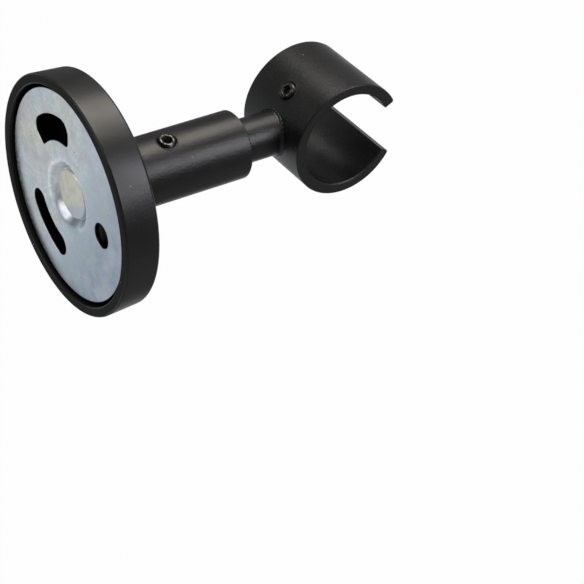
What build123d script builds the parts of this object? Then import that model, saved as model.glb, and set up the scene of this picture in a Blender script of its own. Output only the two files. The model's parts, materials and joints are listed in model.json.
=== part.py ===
from build123d import *
import os
from math import atan2, cos, hypot, radians, sin, tan

# Ceiling bracket for a curtain pole: rose with sleeve and pressed back plate, sliding stem with C cup.
# Millimetres. The origin is the centre of the rose's rim, which lies on the ceiling. +Z points up into
# the ceiling, the stem hangs down -Z, and the pole runs along X through the cup.

# Pole and cup
pole_diameter = 28.0
pole_clearance = 0.5
cup_wall = 3.2
cup_width = 27.5
cup_drop = 84.5
mouth_half_angle = 28.5
lip_round = 0.7
cup_edge = 0.3

# Stem and its weld
stem_diameter = 13.0
stem_insert = 30.0
stem_edge = 0.5
weld_leg = 0.9

# Rose and its sleeve
rose_rim_diameter = 68.0
rose_height = 10.6
rose_draft = 3.5
rose_wall = 2.8
rose_floor = 3.0
rim_outer_round = 0.7
rim_inner_edge = 0.3
front_round = 0.9
root_fillet = 1.1
sleeve_diameter = 20.0
sleeve_wall = 2.5
sleeve_length = 44.0
sleeve_edge = 0.35
sleeve_web = 1.6

# Pressed plate
plate_recess = 1.3
plate_gap = 1.05
plate_thickness = 1.2
plate_edge = 0.2
dish_depth = 2.8
dish_floor_margin = 0.1
dish_wall_run = 2.8
dish_floor_bend = 0.5
dish_mouth_bend = 3.2
plate_turn = -4.0
opening_pitch = 120.0
fixing_circle = 37.6
fixing_hole_diameter = 7.0
slot_width = 6.5
slot_half_angle = 21.5
kidney_inner_radius = 15.5
kidney_outer_radius = 22.7
kidney_half_angle = 28.5
kidney_inner_round = 1.5
kidney_outer_round = 3.5

# Stud that holds the plate in the rose's hub
stud_head_diameter = 14.0
stud_head_thickness = 1.3
stud_diameter = 10.0
stud_end_gap = 0.5
stud_head_edge = 0.2
stud_end_edge = 0.5
thread_clearance = 0.05

# Hex socket grub screws
grub_diameter = 5.0
grub_length = 4.0
grub_edge = 0.4
grub_mouth = 0.45
grub_mouth_angle = 90.0
socket_across_flats = 2.5
socket_depth = 2.0
sleeve_grub_setback = 23.7
sleeve_grub_azimuth = 76.7
sleeve_grub_gap = 0.1
cup_grub_angle = 45.0
cup_grub_recess = 0.1

# Radii and heights that follow
cup_inner_r = pole_diameter / 2 + pole_clearance
cup_outer_r = cup_inner_r + cup_wall
cup_z = -cup_drop
stem_r = stem_diameter / 2
rose_rim_r = rose_rim_diameter / 2
draft_slope = tan(radians(rose_draft))
rose_front_r = rose_rim_r - rose_height * draft_slope
rose_front_z = -rose_height
rose_floor_z = rose_front_z + rose_floor
rose_floor_r = rose_front_r + rose_floor * draft_slope - rose_wall
sleeve_r = sleeve_diameter / 2
sleeve_bore_r = sleeve_r - sleeve_wall
sleeve_mouth_z = rose_front_z - sleeve_length
sleeve_web_z = rose_front_z - sleeve_web
stem_top_z = sleeve_mouth_z + stem_insert
plate_z = -plate_recess
rose_mouth_r = rose_rim_r - rose_wall
plate_r = rose_mouth_r - (plate_recess + plate_thickness) * draft_slope - plate_gap
stud_head_r = stud_head_diameter / 2
dish_bend_run = dish_floor_bend * tan(atan2(dish_depth, dish_wall_run) / 2)
dish_floor_r = stud_head_r + dish_floor_margin + dish_bend_run
dish_mouth_r = dish_floor_r + dish_wall_run
dish_floor_z = plate_z - dish_depth
hub_top_z = dish_floor_z - plate_thickness
stud_r = stud_diameter / 2
tapped_r = stud_r + thread_clearance
grub_r = grub_diameter / 2
grub_hole_r = grub_r + thread_clearance

# Screw axes: each skin plane lies on the surface that its screw is driven through, facing out
azimuth = radians(sleeve_grub_azimuth)
sleeve_grub_out = Vector(cos(azimuth), sin(azimuth), 0)
sleeve_grub_foot = Vector(0, 0, sleeve_mouth_z + sleeve_grub_setback)
sleeve_grub_head_r = stem_r + sleeve_grub_gap + grub_length
sleeve_skin = Plane(sleeve_grub_foot + sleeve_grub_out * sleeve_r, z_dir=sleeve_grub_out)
sleeve_grub_head = Plane(sleeve_grub_foot + sleeve_grub_out * sleeve_grub_head_r, z_dir=sleeve_grub_out)
tilt = radians(cup_grub_angle)
cup_grub_out = Vector(0, sin(tilt), cos(tilt))
cup_centre = Vector(0, 0, cup_z)
cup_grub_head_r = cup_inner_r + cup_grub_recess + grub_length
cup_skin = Plane(cup_centre + cup_grub_out * cup_outer_r, z_dir=cup_grub_out)
cup_grub_head = Plane(cup_centre + cup_grub_out * cup_grub_head_r, z_dir=cup_grub_out)


def from_axis(shape):
    """Distance of a corner or an outline from the plate's axis."""
    middle = shape.center()
    return hypot(middle.X, middle.Y)


# Pressed plate: one even thickness that dips into the dish, with three openings punched through it
kidney_start = plate_turn + opening_pitch - kidney_half_angle
slot_start = plate_turn - opening_pitch - slot_half_angle
slot_path = CenterArc((0, 0), fixing_circle / 2, slot_start, 2 * slot_half_angle)
with BuildPart() as mounting_plate:
    with BuildSketch(Plane.XZ):
        with BuildLine():
            FilletPolyline(
                (tapped_r, dish_floor_z),
                (dish_floor_r, dish_floor_z),
                (dish_mouth_r, plate_z),
                (plate_r, plate_z),
                radius=(dish_floor_bend, dish_mouth_bend),
            )
            offset(amount=plate_thickness, side=Side.RIGHT)
        make_face()
    revolve(axis=Axis.Z)
    with BuildSketch(Plane.XY.offset(plate_z)) as openings:
        with BuildLine():
            outer_arc = CenterArc((0, 0), kidney_outer_radius, kidney_start, 2 * kidney_half_angle)
            inner_arc = CenterArc((0, 0), kidney_inner_radius, kidney_start, 2 * kidney_half_angle)
            Line(outer_arc @ 0, inner_arc @ 0)
            Line(outer_arc @ 1, inner_arc @ 1)
        make_face()
        inner_corners = openings.vertices().sort_by(from_axis)[:2]
        fillet(inner_corners, radius=kidney_inner_round)
        outer_corners = openings.vertices().sort_by(from_axis)[-2:]
        fillet(outer_corners, radius=kidney_outer_round)
        SlotArc(slot_path, slot_width)
        with PolarLocations(fixing_circle / 2, 1, start_angle=plate_turn):
            Circle(fixing_hole_diameter / 2)
    extrude(amount=plate_thickness, both=True, mode=Mode.SUBTRACT)
    back = mounting_plate.faces().filter_by(Axis.Z).sort_by(Axis.Z)[-1]
    punched = back.inner_wires().filter_by(lambda outline: from_axis(outline) > dish_mouth_r)
    chamfer(punched.edges() + back.outer_wire().edges(), length=plate_edge)

# Stud: flat head in the dish, shank through the plate into the rose's hub
with BuildPart() as plate_stud:
    with BuildSketch(Plane.XY.offset(dish_floor_z)):
        Circle(stud_head_r)
    extrude(amount=stud_head_thickness)
    with BuildSketch(Plane.XY.offset(sleeve_web_z + stud_end_gap)):
        Circle(stud_r)
    extrude(until=Until.NEXT)
    chamfer(plate_stud.edges().group_by(Axis.Z)[-1], length=stud_head_edge)
    chamfer(plate_stud.edges().group_by(Axis.Z)[0], length=stud_end_edge)

# Rose and sleeve: one casting with a tapped hub for the stud and a deep bore for the stem
with BuildPart() as rose:
    with BuildSketch(Plane.XZ) as rose_section:
        with BuildLine():
            Polyline(
                (rose_rim_r, 0),
                (rose_front_r, rose_front_z),
                (sleeve_r, rose_front_z),
                (sleeve_r, sleeve_mouth_z),
                (sleeve_bore_r, sleeve_mouth_z),
                (sleeve_bore_r, sleeve_web_z),
                (tapped_r, sleeve_web_z),
                (tapped_r, hub_top_z),
                (dish_floor_r, hub_top_z),
                (dish_floor_r, rose_floor_z),
                (rose_floor_r, rose_floor_z),
                (rose_mouth_r, 0),
                close=True,
            )
        make_face()
    revolve(axis=Axis.Z)
    rings = rose.edges().filter_by(GeomType.CIRCLE)
    rim_rings = rings.group_by(Axis.Z)[-1].sort_by(SortBy.RADIUS)
    front_rings = rings.filter_by_position(Axis.Z, rose_front_z, rose_front_z).sort_by(SortBy.RADIUS)
    mouth_rings = rings.group_by(Axis.Z)[0]
    fillet(rim_rings[-1], radius=rim_outer_round)
    chamfer(rim_rings[0], length=rim_inner_edge)
    fillet(front_rings[-1], radius=front_round)
    fillet(front_rings[0], radius=root_fillet)
    chamfer(mouth_rings, length=sleeve_edge)
    with Locations(sleeve_skin):
        CounterSinkHole(grub_hole_r, grub_hole_r + grub_mouth, sleeve_r, grub_mouth_angle)

# Stem: rod whose foot is welded to the cup's round back, the weld a fillet along the saddle line
with BuildPart() as stem:
    with BuildSketch(Plane.XY.offset(stem_top_z)):
        Circle(stem_r)
    extrude(amount=cup_z - stem_top_z)
    chamfer(stem.edges().group_by(Axis.Z)[-1], length=stem_edge)
    with BuildSketch(Plane.YZ) as cup_back:
        with Locations((0, cup_z)):
            Circle(cup_outer_r)
    extrude(amount=cup_width / 2, both=True)
    saddle = stem.edges().filter_by(GeomType.CIRCLE, reverse=True).filter_by(GeomType.LINE, reverse=True)
    fillet(saddle, radius=weld_leg)
    extrude(cup_back.sketch, amount=cup_width / 2, both=True, mode=Mode.SUBTRACT)

# Cup: slice of tube with its mouth facing down, lips rounded, tapped for its grub screw
mouth_reach = 2 * cup_outer_r
mouth_spread = mouth_reach * tan(radians(mouth_half_angle))
with BuildPart() as cup:
    with BuildSketch(Plane.YZ):
        with Locations((0, cup_z)):
            Circle(cup_outer_r)
            Circle(cup_inner_r, mode=Mode.SUBTRACT)
        with BuildLine():
            Polyline(
                (0, cup_z),
                (mouth_spread, cup_z - mouth_reach),
                (-mouth_spread, cup_z - mouth_reach),
                close=True,
            )
        make_face(mode=Mode.SUBTRACT)
    extrude(amount=cup_width / 2, both=True)
    fillet(cup.edges().filter_by(Axis.X).group_by(Axis.Z)[0], radius=lip_round)
    chamfer(cup.faces().filter_by(Axis.X).edges(), length=cup_edge)
    with Locations(cup_skin):
        CounterSinkHole(grub_hole_r, grub_hole_r + grub_mouth, cup_outer_r, grub_mouth_angle)


def grub_screw(head):
    """Set screw driven in from the plane of its head, flat at the point, with a hex socket."""
    with BuildPart() as screw:
        with BuildSketch(head):
            Circle(grub_r)
        extrude(amount=-grub_length)
        chamfer(screw.edges().filter_by(GeomType.CIRCLE), length=grub_edge)
        with BuildSketch(head):
            RegularPolygon(socket_across_flats / 2, side_count=6, major_radius=False)
        extrude(amount=-socket_depth, mode=Mode.SUBTRACT)
    return screw


sleeve_grub_screw = grub_screw(sleeve_grub_head)
cup_grub_screw = grub_screw(cup_grub_head)

# Each piece is written to its own file
os.makedirs("parts", exist_ok=True)
pieces = {
    "mounting_plate": mounting_plate,
    "plate_stud": plate_stud,
    "rose": rose,
    "stem": stem,
    "cup": cup,
    "sleeve_grub_screw": sleeve_grub_screw,
    "cup_grub_screw": cup_grub_screw,
}
for name, piece in pieces.items():
    piece.part.label = name
    export_step(piece.part, f"parts/{name}.step")
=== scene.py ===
import json

import bpy
import numpy as np
from mathutils import Matrix, Vector


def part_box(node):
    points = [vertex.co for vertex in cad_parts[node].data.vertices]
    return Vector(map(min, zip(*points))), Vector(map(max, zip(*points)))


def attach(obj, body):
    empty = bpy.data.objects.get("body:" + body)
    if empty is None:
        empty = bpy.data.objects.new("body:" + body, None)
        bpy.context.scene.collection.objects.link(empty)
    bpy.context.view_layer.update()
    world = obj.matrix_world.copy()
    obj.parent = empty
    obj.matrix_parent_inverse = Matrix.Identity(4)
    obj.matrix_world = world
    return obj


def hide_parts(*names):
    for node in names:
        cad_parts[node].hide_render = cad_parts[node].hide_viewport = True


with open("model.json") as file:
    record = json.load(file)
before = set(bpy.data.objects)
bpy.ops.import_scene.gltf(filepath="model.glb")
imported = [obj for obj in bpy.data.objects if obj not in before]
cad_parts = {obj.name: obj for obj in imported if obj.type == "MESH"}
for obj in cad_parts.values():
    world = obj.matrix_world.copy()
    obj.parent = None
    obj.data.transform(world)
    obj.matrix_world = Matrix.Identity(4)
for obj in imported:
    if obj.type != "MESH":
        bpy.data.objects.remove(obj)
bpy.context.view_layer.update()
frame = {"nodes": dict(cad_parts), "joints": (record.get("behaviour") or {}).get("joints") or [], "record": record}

# Lengths are metres, in the frame of the solids. +Z points up into the ceiling and the pole runs along X.
MM = 0.001
FULL_TURN = 2 * np.pi
UPWARD = (0.0, 0.0, 1.0)
DOWNWARD = (0.0, 0.0, -1.0)
ALONG_POLE = (1.0, 0.0, 0.0)

# Camera at the photograph's viewing angle
CAMERA_PLACE = Vector((0.3467, 0.2733, 0.1843))
CAMERA_LOOK = Vector((-0.6303, -0.6103, -0.4798))
CAMERA_UP = Vector((-0.5356, 0.7893, -0.3004))
CAMERA_LENS = 109.2
CAMERA_SENSOR = 36.0

# Grub screws, with a drilled middle in the floor of the hex socket
SCREW_RADIUS = 2.5 * MM
SCREW_LENGTH = 4.0 * MM
SCREW_EDGE = 0.4 * MM
SCREW_ROWS = 61
SCREW_COLUMNS = 96
THREAD_PITCH = 0.8 * MM
THREAD_DEPTH = 0.42 * MM
SOCKET_SIDES = 6
SOCKET_FLATS = 2.5 * MM
SOCKET_DEPTH = 2.0 * MM
SOCKET_EDGE = 0.2 * MM
SOCKET_TURN = np.radians(14.0)
DRILL_RADIUS = 0.9 * MM
DRILL_DEPTH = 0.4 * MM

# Wear of a grub screw: a band under the head, then the socket's edge and mouth, and none further down
WORN_BAND = 2 * SCREW_EDGE
SOCKET_WEAR = (0.9, 0.7, 0.0, 0.0, 0.0)

# Lips of the tapped holes: distance from the hole's axis, and height over the wall
HOLE_LIP_RADIUS = 3.02 * MM
HOLE_LIP_HEIGHT = 0.13 * MM
HOLE_LIP_STEPS = 72
SLEEVE_RADIUS = 10.0 * MM
TUBE_SIDES = 12

# Weld under the stem: ripples that wander to and fro, and slower swells
STEM_RADIUS = 6.5 * MM
WELD_TOE = 0.45 * MM
WELD_BEAD = 0.24 * MM
WELD_RIPPLE = 0.04 * MM
WELD_RIPPLES = 38
WELD_WANDER = 0.9
WELD_WANDERS = 3
WELD_SWELL = 0.5
WELD_SWELLS = 7
WELD_STEPS = 360

# Paint: nicked on the rim of the rose, matt on its flat face, and with more peel on the sleeve and cup
NICK_DEPTH = 1.0 * MM
MATT_DEPTH = 0.2 * MM
PEEL_RISE = (9.0 * MM, 18.0 * MM)
PEEL_ON_ROSE = 0.48
SHEEN_SHARE = 0.16
PAINT_SPECULAR = 0.36

# Pressed plate: its openings lie outside this radius, and its dish inside
DISH_REACH = 13.0 * MM
# Depth under the top face below which the plate's edges and the walls of its openings take painted shade
CUT_EDGE_DEPTH = 0.04 * MM
# Width of the band of painted shade, broken by dirt, along the plate's edge
EDGE_SHADE_AND_GRIME = 5.0 * MM
SCUFF_PLACE = (14.3 * MM, -20.5 * MM, -1.3 * MM)
SCUFF_REACH = 1.8 * MM

# Sides to which the plate and its stud change colour, and the distances between which they do
STRAW_SIDE = (-0.836, 0.549, 0.0)
STRAW_RISE = (-12.0 * MM, 26.0 * MM)
# Painted shade: the plate is darker towards this side
PAINTED_SHADE_SIDE = (0.836, -0.549, 0.0)
PAINTED_SHADE_RISE = (-4.0 * MM, 24.0 * MM)
# Painted shade, broken by dirt, along the plate's edge on this side
SHADE_AND_GRIME_SIDE = (-0.82, -0.57, 0.0)
SHADE_AND_GRIME_RISE = (16.0 * MM, 27.0 * MM)
# Painted reflection: the stud's face turns blue grey towards this side
STUD_REFLECTION_SIDE = (0.561, -0.827, 0.0)
STUD_REFLECTION_RISE = (2.2 * MM, 4.4 * MM)

# Share of the zinc's colour that a full mark of each kind takes
LILAC_SHARE = 0.45
OLIVE_SHARE = 0.32
HANDLED_SHARE = 0.40
FROST_SHARE = 0.45

# Colours
PAINT_BLACK = (0.0040, 0.0040, 0.0037)
PAINT_SHEEN = (0.0062, 0.0061, 0.0057)
PAINT_NICK = (0.16, 0.16, 0.15)
PAINT_DUST = (0.30, 0.29, 0.27)
ZINC_BRIGHT = (0.76, 0.87, 0.94)
# Painted shade on one side of the plate
ZINC_PAINTED_SHADE = (0.30, 0.40, 0.50)
ZINC_STRAW = (0.94, 0.90, 0.76)
ZINC_LILAC = (0.66, 0.61, 0.80)
ZINC_OLIVE = (0.70, 0.74, 0.62)
ZINC_HANDLED = (0.50, 0.55, 0.59)
ZINC_FROST = (0.53, 0.57, 0.60)
ZINC_SCUFF = (0.16, 0.16, 0.18)
# Painted shade with dirt along the plate's edge, where it meets the rim
ZINC_SHADE_AND_GRIME = (0.09, 0.09, 0.09)
ZINC_PIT = (0.20, 0.20, 0.21)
# Painted shade on the walls of the plate's openings and on its outer edge
ZINC_CUT_EDGE_SHADE = (0.055, 0.055, 0.052)
STUD_STRAW = (0.80, 0.78, 0.66)
STUD_MOTTLE = (0.72, 0.71, 0.61)
# Painted reflection on one side of the stud
STUD_PAINTED_REFLECTION = (0.62, 0.66, 0.70)
STUD_MARK = (0.46, 0.45, 0.39)
SCREW_BLACK = (0.018, 0.018, 0.017)
SCREW_BRIGHT = (0.105, 0.102, 0.092)
SCREW_OIL = (0.02, 0.02, 0.02)

# Roughness of each finish where its mask is 0 and where it is 1
PAINT_ROUGHNESS = (0.34, 0.90)
ZINC_ROUGHNESS = (0.30, 0.42)
STUD_ROUGHNESS = (0.40, 0.55)
SCREW_ROUGHNESS = (0.42, 0.26)

# Height and strength of the bumps on each finish
PAINT_BUMP = (0.06 * MM, 1.0)
ZINC_BUMP = (0.05 * MM, 0.25)
STUD_BUMP = (0.08 * MM, 0.4)
SCREW_BUMP = (0.03 * MM, 0.3)

# Floor, which reflections show as white out to the edge of an oval and then less so
FLOOR_HEIGHT = -0.75
FLOOR_SIZE = 60.0
FLOOR_COLOUR = (0.80, 0.81, 0.82, 1.0)
FLOOR_ROUGHNESS = 0.9
FLOOR_WHITENESS = 0.985
OVAL_MARGIN = 1.1
OVAL_FADE = (1.0, 1.4)

# Surroundings, paler at the horizon
WORLD_COLOUR = (0.98, 0.985, 1.0, 1.0)
WORLD_STRENGTH = 0.15
HORIZON_STRENGTH = 0.55
HORIZON_RISE = (0.12, 0.34)

# Lamps: name, direction to the photographer's right, up and back, distance, width and height, watts, colour
LIGHT_AIM = Vector((0.0, 0.0, -0.045))
NEUTRAL = (1.0, 1.0, 1.0)
WARM = (1.0, 0.95, 0.87)
COOL = (0.93, 0.93, 1.0)
PALE = (0.90, 0.96, 1.0)
LAMPS = (
    ("overhead_box", (0.195, 0.916, 0.348), 0.4, (0.24, 0.24), 1.55, WARM),
    ("cup_box", (-0.14, 0.98, 0.10), 0.6, (0.18, 0.18), 0.26, NEUTRAL),
    ("left_box", (-0.72, 0.30, 0.62), 0.8, (0.60, 0.60), 1.65, NEUTRAL),
    ("right_box", (0.84, 0.15, 0.54), 0.7, (0.36, 0.36), 3.0, COOL),
    ("low_fill", (0.71, -0.68, -0.20), 0.6, (0.5, 0.4), 0.1, WARM),
    ("plate_card", (-0.83, -0.14, -0.54), 1.1, (1.45, 1.45), 2.7, PALE),
    ("dish_card", (-0.68, -0.73, 0.08), 0.9, (1.3, 1.3), 2.2, PALE),
)


# Meshes

def grid_piece(name, points, body, material, wear=None):
    """Object whose mesh is the grid points[i, j], with j running once round and closing on itself.

    Rows i and i + 1 are joined by quads. wear, where given, is a number for each row and is kept as the
    vertex attribute of that name.
    """
    rows, columns = points.shape[:2]
    index = np.arange(rows * columns).reshape(rows, columns)
    after = np.roll(index, -1, axis=1)
    quads = np.stack([index[:-1], after[:-1], after[1:], index[1:]], axis=-1).reshape(-1, 4)
    mesh = bpy.data.meshes.new(name)
    mesh.from_pydata(points.reshape(-1, 3).tolist(), [], quads.tolist())
    mesh.polygons.foreach_set("use_smooth", np.ones(len(mesh.polygons), dtype=bool))
    if wear is not None:
        layer = mesh.attributes.new("wear", "FLOAT", "POINT")
        layer.data.foreach_set("value", np.repeat(wear, columns).astype(np.float32))
    mesh.update()
    piece = bpy.data.objects.new(name, mesh)
    bpy.context.scene.collection.objects.link(piece)
    mesh.materials.append(material)
    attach(piece, body)
    return piece


def axis_frame(out):
    """Two directions square to out and to each other, the first of them level."""
    level = np.cross(np.array(UPWARD), out)
    level = level / np.linalg.norm(level)
    return level, np.cross(out, level)


def node_centre(node):
    """Middle of a solid's box."""
    low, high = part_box(node)
    return (np.array(low) + np.array(high)) / 2


def joint_axis(name):
    """Axis of a joint, as a unit vector."""
    axis = next(np.array(joint["axis"]) for joint in frame["joints"] if joint["name"] == name)
    return axis / np.linalg.norm(axis)


def threaded_grub_screw(name, node, out, body, material):
    """Set screw as one turned surface: radius and height are functions of a profile step and an angle.

    From the point to the head the radius is the smaller of two: the end chamfers, which are cones, and
    the thread, whose radius falls from crest to root as a triangle wave of height minus turned lead. Past
    the head the profile crosses to a hexagon, whose radius is half the flats over the cosine of the angle
    from the nearest flat, runs down the socket and closes at its drilled middle.
    """
    angle = np.linspace(0.0, FULL_TURN, SCREW_COLUMNS, endpoint=False)
    height = np.linspace(0.0, SCREW_LENGTH, SCREW_ROWS)
    phase = (height[:, None] / THREAD_PITCH - angle[None, :] / FULL_TURN) % 1.0
    thread = SCREW_RADIUS - THREAD_DEPTH * np.abs(2 * phase - 1)
    cone = SCREW_RADIUS - SCREW_EDGE + np.minimum(height, SCREW_LENGTH - height)
    body_radius = np.minimum(thread, cone[:, None])
    side_turn = FULL_TURN / SOCKET_SIDES
    nearest_flat = (angle + SOCKET_TURN) % side_turn - side_turn / 2
    hexagon = SOCKET_FLATS / 2 / np.cos(nearest_flat)
    drilled = np.full_like(angle, DRILL_RADIUS)
    nothing = np.zeros_like(angle)
    ring = np.vstack([
        nothing, body_radius, hexagon + SOCKET_EDGE, hexagon, hexagon, drilled, nothing,
    ])
    floor = SCREW_LENGTH - SOCKET_DEPTH
    lift = np.concatenate([
        [0.0], height, [SCREW_LENGTH, SCREW_LENGTH - SOCKET_EDGE, floor, floor, floor - DRILL_DEPTH],
    ])
    head_wear = np.clip(1 - (SCREW_LENGTH - height) / WORN_BAND, 0.0, 1.0)
    wear = np.concatenate([[0.0], head_wear, SOCKET_WEAR])
    level, upright = axis_frame(out)
    around = np.cos(angle)[:, None] * level + np.sin(angle)[:, None] * upright
    foot = node_centre(node) - out * SCREW_LENGTH / 2
    points = foot + ring[:, :, None] * around[None] + lift[:, None, None] * out
    screw = grid_piece(name, points, body, material, wear)
    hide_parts(node)


def ring_tube(path, normal, radius):
    """Tube round a closed path: a circle of the given radius carried along it, for each path point.

    The circle at a point is spanned by the surface normal there and by the path's direction crossed with
    that normal. radius may change from point to point.
    """
    along = np.roll(path, -1, axis=0) - np.roll(path, 1, axis=0)
    along = along / np.linalg.norm(along, axis=1, keepdims=True)
    side = np.cross(along, normal)
    angle = np.linspace(0.0, FULL_TURN, TUBE_SIDES, endpoint=False)
    circle = np.cos(angle)[:, None, None] * side[None] + np.sin(angle)[:, None, None] * normal[None]
    points = path[None] + circle * np.broadcast_to(radius, len(path))[None, :, None]
    return np.concatenate([points, points[:1]])


def hole_lip(name, centre, out, along, radius, body, material):
    """Raised edge of a tapped hole in a round wall: a thin tube on the hole's edge.

    A point of the edge at angle t is the lip's radius times cos t along the wall's axis and sin t across
    it, dropped onto the wall: its distance from the axis of the wall is the wall's radius.
    """
    t = np.linspace(0.0, FULL_TURN, HOLE_LIP_STEPS, endpoint=False)
    across = np.cross(out, along)
    step = HOLE_LIP_RADIUS * np.cos(t)
    swing = HOLE_LIP_RADIUS * np.sin(t)
    reach = np.sqrt(radius ** 2 - swing ** 2)
    path = centre + step[:, None] * along + swing[:, None] * across + reach[:, None] * out
    normal = (swing[:, None] * across + reach[:, None] * out) / radius
    grid_piece(name, ring_tube(path, normal, HOLE_LIP_HEIGHT), body, material)


def weld_bead(name, stem_radius, cup_centre, cup_radius, body, material):
    """Bead of weld round the stem's foot: a tube of rippled radius along the saddle line.

    The saddle line at angle t stands the stem's radius plus the toe from the stem's axis, and rests on
    the cup: its height over the cup's axis is the root of the cup's radius squared less its y squared.
    The tube's radius is that of the bead plus the ripple's height times the sum of two sines of t: the
    ripples, whose phase wanders as a slow sine, and the swells.
    """
    t = np.linspace(0.0, FULL_TURN, WELD_STEPS, endpoint=False)
    toe = stem_radius + WELD_TOE
    x = toe * np.cos(t)
    y = toe * np.sin(t)
    rise = np.sqrt(cup_radius ** 2 - y ** 2)
    path = cup_centre + np.stack([x, y, rise], axis=1)
    normal = np.stack([np.zeros_like(t), y, rise], axis=1) / cup_radius
    ripples = np.sin(WELD_RIPPLES * t + WELD_WANDER * np.sin(WELD_WANDERS * t))
    swells = WELD_SWELL * np.sin(WELD_SWELLS * t)
    bead = WELD_BEAD + WELD_RIPPLE * (ripples + swells)
    grid_piece(name, ring_tube(path, normal, bead), body, material)


# Shader node groups

def new_group(name, inputs, outputs):
    """Empty shader node group with named float or vector inputs and float outputs."""
    group = bpy.data.node_groups.new(name, "ShaderNodeTree")
    for label, kind in inputs:
        group.interface.new_socket(label, in_out="INPUT", socket_type=kind)
    for label in outputs:
        group.interface.new_socket(label, in_out="OUTPUT", socket_type="NodeSocketFloat")
    entry = group.nodes.new("NodeGroupInput")
    leave = group.nodes.new("NodeGroupOutput")
    return group, entry, leave


def noise(tree, detail, roughness):
    """Noise texture with the given detail."""
    node = tree.nodes.new("ShaderNodeTexNoise")
    node.inputs["Detail"].default_value = detail
    node.inputs["Roughness"].default_value = roughness
    return node


def put(tree, value, socket):
    """Give a socket its value, which is a number or another socket to read."""
    if isinstance(value, (int, float)):
        socket.default_value = value
    else:
        tree.links.new(value, socket)


def maths(tree, operation, *values):
    """Math node; each value is a number or a socket to read."""
    node = tree.nodes.new("ShaderNodeMath")
    node.operation = operation
    for socket, value in zip(node.inputs, values):
        put(tree, value, socket)
    return node.outputs[0]


def span(tree, value, low, high):
    """Smooth rise from 0, where value is low, to 1, where it is high."""
    node = tree.nodes.new("ShaderNodeMapRange")
    node.interpolation_type = "SMOOTHSTEP"
    for label, source in (("Value", value), ("From Min", low), ("From Max", high)):
        put(tree, source, node.inputs[label])
    return node.outputs["Result"]


def sprayed_grain_group():
    """Height of a sprayed or plated skin: broad orange peel with fine grit on it."""
    group, entry, leave = new_group(
        "sprayed_grain",
        [("Vector", "NodeSocketVector"), ("Peel Scale", "NodeSocketFloat"),
         ("Grit Scale", "NodeSocketFloat"), ("Grit Share", "NodeSocketFloat")],
        ["Height"],
    )
    peel = noise(group, detail=2.0, roughness=0.5)
    grit = noise(group, detail=3.0, roughness=0.6)
    for texture, label in ((peel, "Peel Scale"), (grit, "Grit Scale")):
        group.links.new(entry.outputs["Vector"], texture.inputs["Vector"])
        group.links.new(entry.outputs[label], texture.inputs["Scale"])
    fine = maths(group, "MULTIPLY", grit.outputs["Fac"], entry.outputs["Grit Share"])
    group.links.new(maths(group, "ADD", peel.outputs["Fac"], fine), leave.inputs["Height"])
    return group


def specks_group():
    """Mask of small round specks: cells of a Voronoi pattern, of which only a share carries a speck."""
    group, entry, leave = new_group(
        "specks",
        [("Vector", "NodeSocketVector"), ("Scale", "NodeSocketFloat"),
         ("Size", "NodeSocketFloat"), ("Share", "NodeSocketFloat")],
        ["Mask"],
    )
    cells = group.nodes.new("ShaderNodeTexVoronoi")
    group.links.new(entry.outputs["Vector"], cells.inputs["Vector"])
    group.links.new(entry.outputs["Scale"], cells.inputs["Scale"])
    chance = group.nodes.new("ShaderNodeSeparateColor")
    group.links.new(cells.outputs["Color"], chance.inputs["Color"])
    chosen = maths(group, "LESS_THAN", chance.outputs["Red"], entry.outputs["Share"])
    size = maths(group, "MULTIPLY", chance.outputs["Green"], entry.outputs["Size"])
    spot = maths(group, "LESS_THAN", cells.outputs["Distance"], size)
    group.links.new(maths(group, "MULTIPLY", chosen, spot), leave.inputs["Mask"])
    return group


def smudges_group():
    """Soft mask of cloudy handling marks: noise lifted between two levels."""
    group, entry, leave = new_group(
        "smudges",
        [("Vector", "NodeSocketVector"), ("Scale", "NodeSocketFloat"),
         ("Low", "NodeSocketFloat"), ("High", "NodeSocketFloat")],
        ["Mask"],
    )
    cloud = noise(group, detail=4.0, roughness=0.55)
    group.links.new(entry.outputs["Vector"], cloud.inputs["Vector"])
    group.links.new(entry.outputs["Scale"], cloud.inputs["Scale"])
    mask = span(group, cloud.outputs["Fac"], entry.outputs["Low"], entry.outputs["High"])
    group.links.new(mask, leave.inputs["Mask"])
    return group


# Materials

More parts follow.
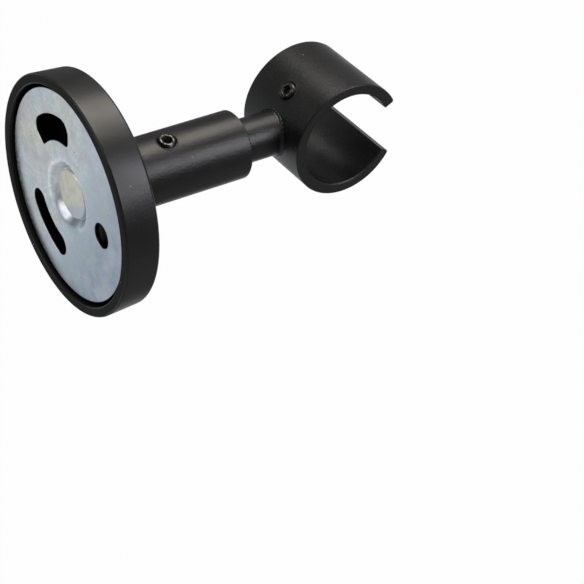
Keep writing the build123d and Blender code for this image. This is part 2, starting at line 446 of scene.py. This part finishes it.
class Finish:
    """Material with its Principled shader, object coordinates and short calls for its nodes."""

    def __init__(self, name):
        self.material = bpy.data.materials.new(name)
        self.material.use_nodes = True
        self.tree = self.material.node_tree
        self.shader = self.tree.nodes["Principled BSDF"]
        self.place = self.tree.nodes.new("ShaderNodeTexCoord").outputs["Object"]

    def set(self, **values):
        """Plain numbers on the shader's own sockets."""
        for label, value in values.items():
            self.shader.inputs[label.replace("_", " ")].default_value = value

    def use(self, group, output, **values):
        """One output of a node group placed on the object's coordinates with the given values."""
        node = self.tree.nodes.new("ShaderNodeGroup")
        node.node_tree = group
        self.tree.links.new(self.place, node.inputs["Vector"])
        for label, value in values.items():
            node.inputs[label.replace("_", " ")].default_value = value
        return node.outputs[output]

    def mix(self, factor, first, second):
        """Colour that goes from first to second with factor; each is a colour or a socket."""
        node = self.tree.nodes.new("ShaderNodeMix")
        node.data_type = "RGBA"
        self.tree.links.new(factor, node.inputs["Factor"])
        for label, value in (("A", first), ("B", second)):
            socket = next(s for s in node.inputs if s.name == label and s.type == "RGBA")
            if isinstance(value, tuple):
                socket.default_value = (*value, 1.0)
            else:
                self.tree.links.new(value, socket)
        return next(s for s in node.outputs if s.type == "RGBA")

    def measure(self, operation, source, other=None):
        """Vector Math node that reads a socket and, where given, a plain vector."""
        node = self.tree.nodes.new("ShaderNodeVectorMath")
        node.operation = operation
        self.tree.links.new(source, node.inputs[0])
        if other is not None:
            node.inputs[1].default_value = other
        return node.outputs

    def across(self, direction, low, high):
        """Mask that rises from 0 to 1 along a direction, between two distances from the origin."""
        return span(self.tree, self.measure("DOT_PRODUCT", self.place, direction)["Value"], low, high)

    def outward(self, low, high):
        """Mask that rises from 0 to 1 between two distances from the Z axis."""
        level = self.measure("MULTIPLY", self.place, (1.0, 1.0, 0.0))["Vector"]
        return span(self.tree, self.measure("LENGTH", level)["Value"], low, high)

    def near(self, point, reach):
        """Mask that falls from 1 at a point to 0 at a distance from it."""
        away = span(self.tree, self.measure("DISTANCE", self.place, point)["Value"], 0.0, reach)
        return maths(self.tree, "SUBTRACT", 1.0, away)

    def both(self, *masks):
        """Product of masks and numbers."""
        product = masks[0]
        for mask in masks[1:]:
            product = maths(self.tree, "MULTIPLY", product, mask)
        return product

    def feed(self, label, value):
        """Join a changing value to one of the shader's sockets."""
        self.tree.links.new(value, self.shader.inputs[label])

    def roughness(self, value, low, high):
        """Roughness that goes from low to high with a mask."""
        self.feed("Roughness", maths(self.tree, "MULTIPLY_ADD", value, high - low, low))

    def bump(self, height, distance, strength):
        """Bumps of the given height in metres."""
        node = self.tree.nodes.new("ShaderNodeBump")
        node.inputs["Distance"].default_value = distance
        node.inputs["Strength"].default_value = strength
        self.tree.links.new(height, node.inputs["Height"])
        self.feed("Normal", node.outputs["Normal"])


def satin_black_paint(grain, specks, smudges):
    """Sprayed satin black: fine peel, faint cloudy sheen, a few specks of pale dust, and a nicked rim."""
    paint = Finish("satin_black_paint")
    cloud = paint.use(smudges, "Mask", Scale=70.0, Low=0.35, High=0.75)
    dust = paint.use(specks, "Mask", Scale=260.0, Size=0.06, Share=0.55)
    rim = paint.across(UPWARD, -NICK_DEPTH, -NICK_DEPTH / 2)
    nicks = paint.both(paint.use(specks, "Mask", Scale=330.0, Size=0.14, Share=0.16), rim)
    skin = paint.mix(cloud, PAINT_BLACK, PAINT_SHEEN)
    skin = paint.mix(nicks, skin, PAINT_NICK)
    paint.feed("Base Color", paint.mix(dust, skin, PAINT_DUST))
    matt = paint.across(UPWARD, -MATT_DEPTH, 0.0)
    dull = maths(paint.tree, "MAXIMUM", paint.both(cloud, SHEEN_SHARE), matt)
    paint.roughness(dull, *PAINT_ROUGHNESS)
    height = paint.use(grain, "Height", Peel_Scale=1500.0, Grit_Scale=3600.0, Grit_Share=0.45)
    below = paint.across(DOWNWARD, *PEEL_RISE)
    peel = maths(paint.tree, "MULTIPLY_ADD", below, 1.0 - PEEL_ON_ROSE, PEEL_ON_ROSE)
    paint.bump(paint.both(height, peel), *PAINT_BUMP)
    paint.set(Specular_IOR_Level=PAINT_SPECULAR)
    return paint.material


def zinc_plating(grain, specks, smudges):
    """Bright zinc on pressed steel: blue grey, tinted, marked and scuffed, with painted shade to one side, on the
    sheared edges, and with dirt along the rim.
    """
    zinc = Finish("zinc_plating")
    low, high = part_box("mounting_plate")
    rim = (high[0] - low[0]) / 2
    straw = zinc.use(smudges, "Mask", Scale=60.0, Low=0.30, High=0.60)
    straw = zinc.both(straw, zinc.across(STRAW_SIDE, *STRAW_RISE))
    lilac = zinc.both(zinc.use(smudges, "Mask", Scale=118.0, Low=0.44, High=0.62), LILAC_SHARE)
    olive = zinc.both(zinc.use(smudges, "Mask", Scale=171.0, Low=0.46, High=0.64), OLIVE_SHARE)
    handled = zinc.both(zinc.use(smudges, "Mask", Scale=260.0, Low=0.42, High=0.72), HANDLED_SHARE)
    frost = zinc.both(zinc.use(smudges, "Mask", Scale=1000.0, Low=0.34, High=0.66), FROST_SHARE)
    scuff = zinc.use(smudges, "Mask", Scale=1500.0, Low=0.46, High=0.58)
    scuff = zinc.both(scuff, zinc.near(SCUFF_PLACE, SCUFF_REACH))
    # Painted shade along one side of the plate's edge, where it meets the rim, broken by dirt
    shade_and_grime = zinc.use(smudges, "Mask", Scale=900.0, Low=0.10, High=0.60)
    shade_and_grime = zinc.both(shade_and_grime, zinc.outward(rim - EDGE_SHADE_AND_GRIME, rim), zinc.across(SHADE_AND_GRIME_SIDE, *SHADE_AND_GRIME_RISE))
    pits = zinc.use(specks, "Mask", Scale=900.0, Size=0.22, Share=0.08)
    haze = zinc.use(smudges, "Mask", Scale=240.0, Low=0.30, High=0.80)
    # Painted shade on the walls of the openings and the outer edge, below the top face
    deep = zinc.across(DOWNWARD, CUT_EDGE_DEPTH - high[2], 2 * CUT_EDGE_DEPTH - high[2])
    cut_edge_shade = zinc.both(deep, zinc.outward(DISH_REACH - CUT_EDGE_DEPTH, DISH_REACH))
    # Painted shade: the zinc darkens towards one side of the plate
    skin = zinc.mix(zinc.across(PAINTED_SHADE_SIDE, *PAINTED_SHADE_RISE), ZINC_BRIGHT, ZINC_PAINTED_SHADE)
    for mask, colour in (
        (straw, ZINC_STRAW), (lilac, ZINC_LILAC), (olive, ZINC_OLIVE), (handled, ZINC_HANDLED),
        (frost, ZINC_FROST), (scuff, ZINC_SCUFF), (shade_and_grime, ZINC_SHADE_AND_GRIME), (pits, ZINC_PIT), (cut_edge_shade, ZINC_CUT_EDGE_SHADE),
    ):
        skin = zinc.mix(mask, skin, colour)
    zinc.feed("Base Color", skin)
    zinc.roughness(haze, *ZINC_ROUGHNESS)
    height = zinc.use(grain, "Height", Peel_Scale=420.0, Grit_Scale=3600.0, Grit_Share=0.5)
    zinc.bump(height, *ZINC_BUMP)
    zinc.set(Metallic=1.0)
    return zinc.material


def stud_steel(grain, specks, smudges):
    """Plated stud in the dish: pale straw with worn mottling, and a painted reflection that turns it blue grey to
    one side.
    """
    steel = Finish("stud_steel")
    mottle = steel.use(smudges, "Mask", Scale=420.0, Low=0.36, High=0.70)
    marks = steel.use(specks, "Mask", Scale=1300.0, Size=0.30, Share=0.10)
    skin = steel.mix(mottle, STUD_STRAW, STUD_MOTTLE)
    # Painted reflection: blue grey towards one side of the stud's face
    skin = steel.mix(steel.across(STUD_REFLECTION_SIDE, *STUD_REFLECTION_RISE), skin, STUD_PAINTED_REFLECTION)
    steel.feed("Base Color", steel.mix(marks, skin, STUD_MARK))
    steel.roughness(mottle, *STUD_ROUGHNESS)
    height = steel.use(grain, "Height", Peel_Scale=700.0, Grit_Scale=4200.0, Grit_Share=0.6)
    steel.bump(height, *STUD_BUMP)
    steel.set(Metallic=1.0)
    return steel.material


def blackened_screw_steel(grain, specks, smudges):
    """Blackened steel of the set screws, rubbed bright on the edges that a key touches."""
    steel = Finish("blackened_screw_steel")
    rubbed = steel.tree.nodes.new("ShaderNodeAttribute")
    rubbed.attribute_name = "wear"
    patch = steel.use(smudges, "Mask", Scale=1400.0, Low=0.35, High=0.62)
    bright = steel.both(rubbed.outputs["Fac"], patch)
    oil = steel.use(specks, "Mask", Scale=2600.0, Size=0.35, Share=0.12)
    skin = steel.mix(bright, SCREW_BLACK, SCREW_BRIGHT)
    steel.feed("Base Color", steel.mix(oil, skin, SCREW_OIL))
    steel.roughness(bright, *SCREW_ROUGHNESS)
    height = steel.use(grain, "Height", Peel_Scale=2600.0, Grit_Scale=7000.0, Grit_Share=0.5)
    steel.bump(height, *SCREW_BUMP)
    steel.set(Metallic=1.0)
    return steel.material


def dress(node, material):
    """A solid's own mesh takes the finish."""
    mesh = frame["nodes"][node].data
    mesh.materials.clear()
    mesh.materials.append(material)


# Stage

def background_oval(tree):
    """Distance from the middle of the floor that the camera sees, where 1 is the edge of an oval round it.

    The oval takes in a cone through the picture's corners, with a margin. It runs from where the cone's
    lower side meets the floor to where its upper side does, and is as wide as the cone is where the
    camera's axis meets the floor.
    """
    ahead = Vector((CAMERA_LOOK.x, CAMERA_LOOK.y)).normalized()
    pitch = np.arcsin(-CAMERA_LOOK.normalized().z)
    half_view = np.arctan(np.sqrt(0.5) * CAMERA_SENSOR / CAMERA_LENS)
    fall = CAMERA_PLACE.z - FLOOR_HEIGHT
    near = fall / np.tan(pitch + half_view)
    far = fall / np.tan(pitch - half_view)
    middle = CAMERA_PLACE.xy + ahead * (near + far) / 2
    length = OVAL_MARGIN * (far - near) / 2
    width = OVAL_MARGIN * fall / np.sin(pitch) * np.tan(half_view)
    oval = tree.nodes.new("ShaderNodeMapping")
    oval.vector_type = "TEXTURE"
    oval.inputs["Location"].default_value = (middle.x, middle.y, FLOOR_HEIGHT)
    oval.inputs["Rotation"].default_value[2] = np.arctan2(ahead.y, ahead.x)
    oval.inputs["Scale"].default_value = (length, width, 1.0)
    place = tree.nodes.new("ShaderNodeTexCoord")
    tree.links.new(place.outputs["Object"], oval.inputs["Vector"])
    radius = tree.nodes.new("ShaderNodeVectorMath")
    radius.operation = "LENGTH"
    tree.links.new(oval.outputs["Vector"], radius.inputs[0])
    return radius.outputs["Value"]


def pale_floor():
    """Level floor well under the bracket, white to the camera.

    Reflections show that white too, in an oval on the floor ahead of the photograph's camera, and the plain
    pale floor round it. A share of the plain floor under the white keeps the shadow.
    """
    half = FLOOR_SIZE / 2
    corners = [(-half, -half, FLOOR_HEIGHT), (half, -half, FLOOR_HEIGHT),
               (half, half, FLOOR_HEIGHT), (-half, half, FLOOR_HEIGHT)]
    mesh = bpy.data.meshes.new("floor")
    mesh.from_pydata(corners, [], [(0, 1, 2, 3)])
    floor = bpy.data.objects.new("floor", mesh)
    bpy.context.scene.collection.objects.link(floor)
    material = bpy.data.materials.new("pale_floor")
    material.use_nodes = True
    tree = material.node_tree
    matt = tree.nodes["Principled BSDF"]
    matt.inputs["Base Color"].default_value = FLOOR_COLOUR
    matt.inputs["Roughness"].default_value = FLOOR_ROUGHNESS
    glow = tree.nodes.new("ShaderNodeEmission")
    rays = tree.nodes.new("ShaderNodeLightPath")
    mirrored = maths(tree, "MAXIMUM", rays.outputs["Is Glossy Ray"], rays.outputs["Is Transmission Ray"])
    outside = span(tree, background_oval(tree), *OVAL_FADE)
    mirrored = maths(tree, "MULTIPLY", mirrored, maths(tree, "SUBTRACT", 1.0, outside))
    seen = maths(tree, "MAXIMUM", rays.outputs["Is Camera Ray"], mirrored)
    blend = tree.nodes.new("ShaderNodeMixShader")
    tree.links.new(maths(tree, "MULTIPLY", seen, FLOOR_WHITENESS), blend.inputs["Fac"])
    tree.links.new(matt.outputs["BSDF"], blend.inputs[1])
    tree.links.new(glow.outputs["Emission"], blend.inputs[2])
    tree.links.new(blend.outputs["Shader"], tree.nodes["Material Output"].inputs["Surface"])
    mesh.materials.append(material)


def camera_axes():
    """Right, up and back directions of the camera."""
    back = -CAMERA_LOOK.normalized()
    right = CAMERA_UP.cross(back).normalized()
    return right, back.cross(right), back


def set_camera():
    """Camera at its place, with no shift."""
    right, up, back = camera_axes()
    data = bpy.data.cameras.new("camera")
    data.lens = CAMERA_LENS
    data.sensor_width = CAMERA_SENSOR
    camera = bpy.data.objects.new("camera", data)
    turn = Matrix((right, up, back)).transposed().to_4x4()
    camera.matrix_world = Matrix.Translation(CAMERA_PLACE) @ turn
    bpy.context.scene.collection.objects.link(camera)
    bpy.context.scene.camera = camera


def set_surroundings():
    """Surroundings that are white to the camera, and otherwise dim."""
    world = bpy.data.worlds.new("surroundings")
    world.use_nodes = True
    tree = world.node_tree
    sky = tree.nodes["Background"]
    sky.inputs["Color"].default_value = WORLD_COLOUR
    way = tree.nodes.new("ShaderNodeSeparateXYZ")
    tree.links.new(tree.nodes.new("ShaderNodeTexCoord").outputs["Generated"], way.inputs["Vector"])
    rise = span(tree, maths(tree, "ABSOLUTE", way.outputs["Z"]), *HORIZON_RISE)
    strength = maths(tree, "MULTIPLY_ADD", rise, WORLD_STRENGTH - HORIZON_STRENGTH, HORIZON_STRENGTH)
    seen = tree.nodes.new("ShaderNodeLightPath").outputs["Is Camera Ray"]
    tree.links.new(maths(tree, "MAXIMUM", strength, seen), sky.inputs["Strength"])
    bpy.context.scene.world = world


def set_lamps():
    """Soft boxes, and pale cards that the plate mirrors, all facing the middle of the bracket."""
    right, up, back = camera_axes()
    for name, (side, rise, behind), distance, (width, height), power, colour in LAMPS:
        direction = (right * side + up * rise + back * behind).normalized()
        data = bpy.data.lights.new(name, "AREA")
        data.shape = "RECTANGLE"
        data.size = width
        data.size_y = height
        data.energy = power
        data.color = colour
        lamp = bpy.data.objects.new(name, data)
        lamp.location = LIGHT_AIM + direction * distance
        lamp.rotation_euler = direction.to_track_quat("Z", "Y").to_euler()
        bpy.context.scene.collection.objects.link(lamp)


def main():
    """Dress the solids, add the fine pieces, then set the stage."""
    grain = sprayed_grain_group()
    specks = specks_group()
    smudges = smudges_group()
    paint = satin_black_paint(grain, specks, smudges)
    screw_steel = blackened_screw_steel(grain, specks, smudges)
    dress("mounting_plate", zinc_plating(grain, specks, smudges))
    dress("plate_stud", stud_steel(grain, specks, smudges))
    for node in ("rose", "stem", "cup"):
        dress(node, paint)

    sleeve_out = joint_axis("sleeve_screw_travel")
    cup_out = -joint_axis("cup_screw_travel")
    threaded_grub_screw("sleeve_screw_turned", "sleeve_grub_screw", sleeve_out, "sleeve_screw", screw_steel)
    threaded_grub_screw("cup_screw_turned", "cup_grub_screw", cup_out, "cup_screw", screw_steel)

    pole = next(mount for mount in frame["record"]["mounts"] if mount["name"] == "pole_bore")
    cup_centre = np.array(pole["pos_m"])
    cup_low, cup_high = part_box("cup")
    cup_radius = (cup_high[1] - cup_low[1]) / 2
    stem_way = np.array(UPWARD)
    pole_way = np.array(ALONG_POLE)
    sleeve_foot = node_centre("sleeve_grub_screw") * stem_way
    hole_lip("sleeve_hole_lip", sleeve_foot, sleeve_out, stem_way, SLEEVE_RADIUS, "base", paint)
    hole_lip("cup_hole_lip", cup_centre, cup_out, pole_way, cup_radius, "arm", paint)
    weld_bead("stem_weld", STEM_RADIUS, cup_centre, cup_radius, "arm", paint)

    pale_floor()
    set_camera()
    set_surroundings()
    set_lamps()
    bpy.context.scene.view_settings.view_transform = "Standard"


main()
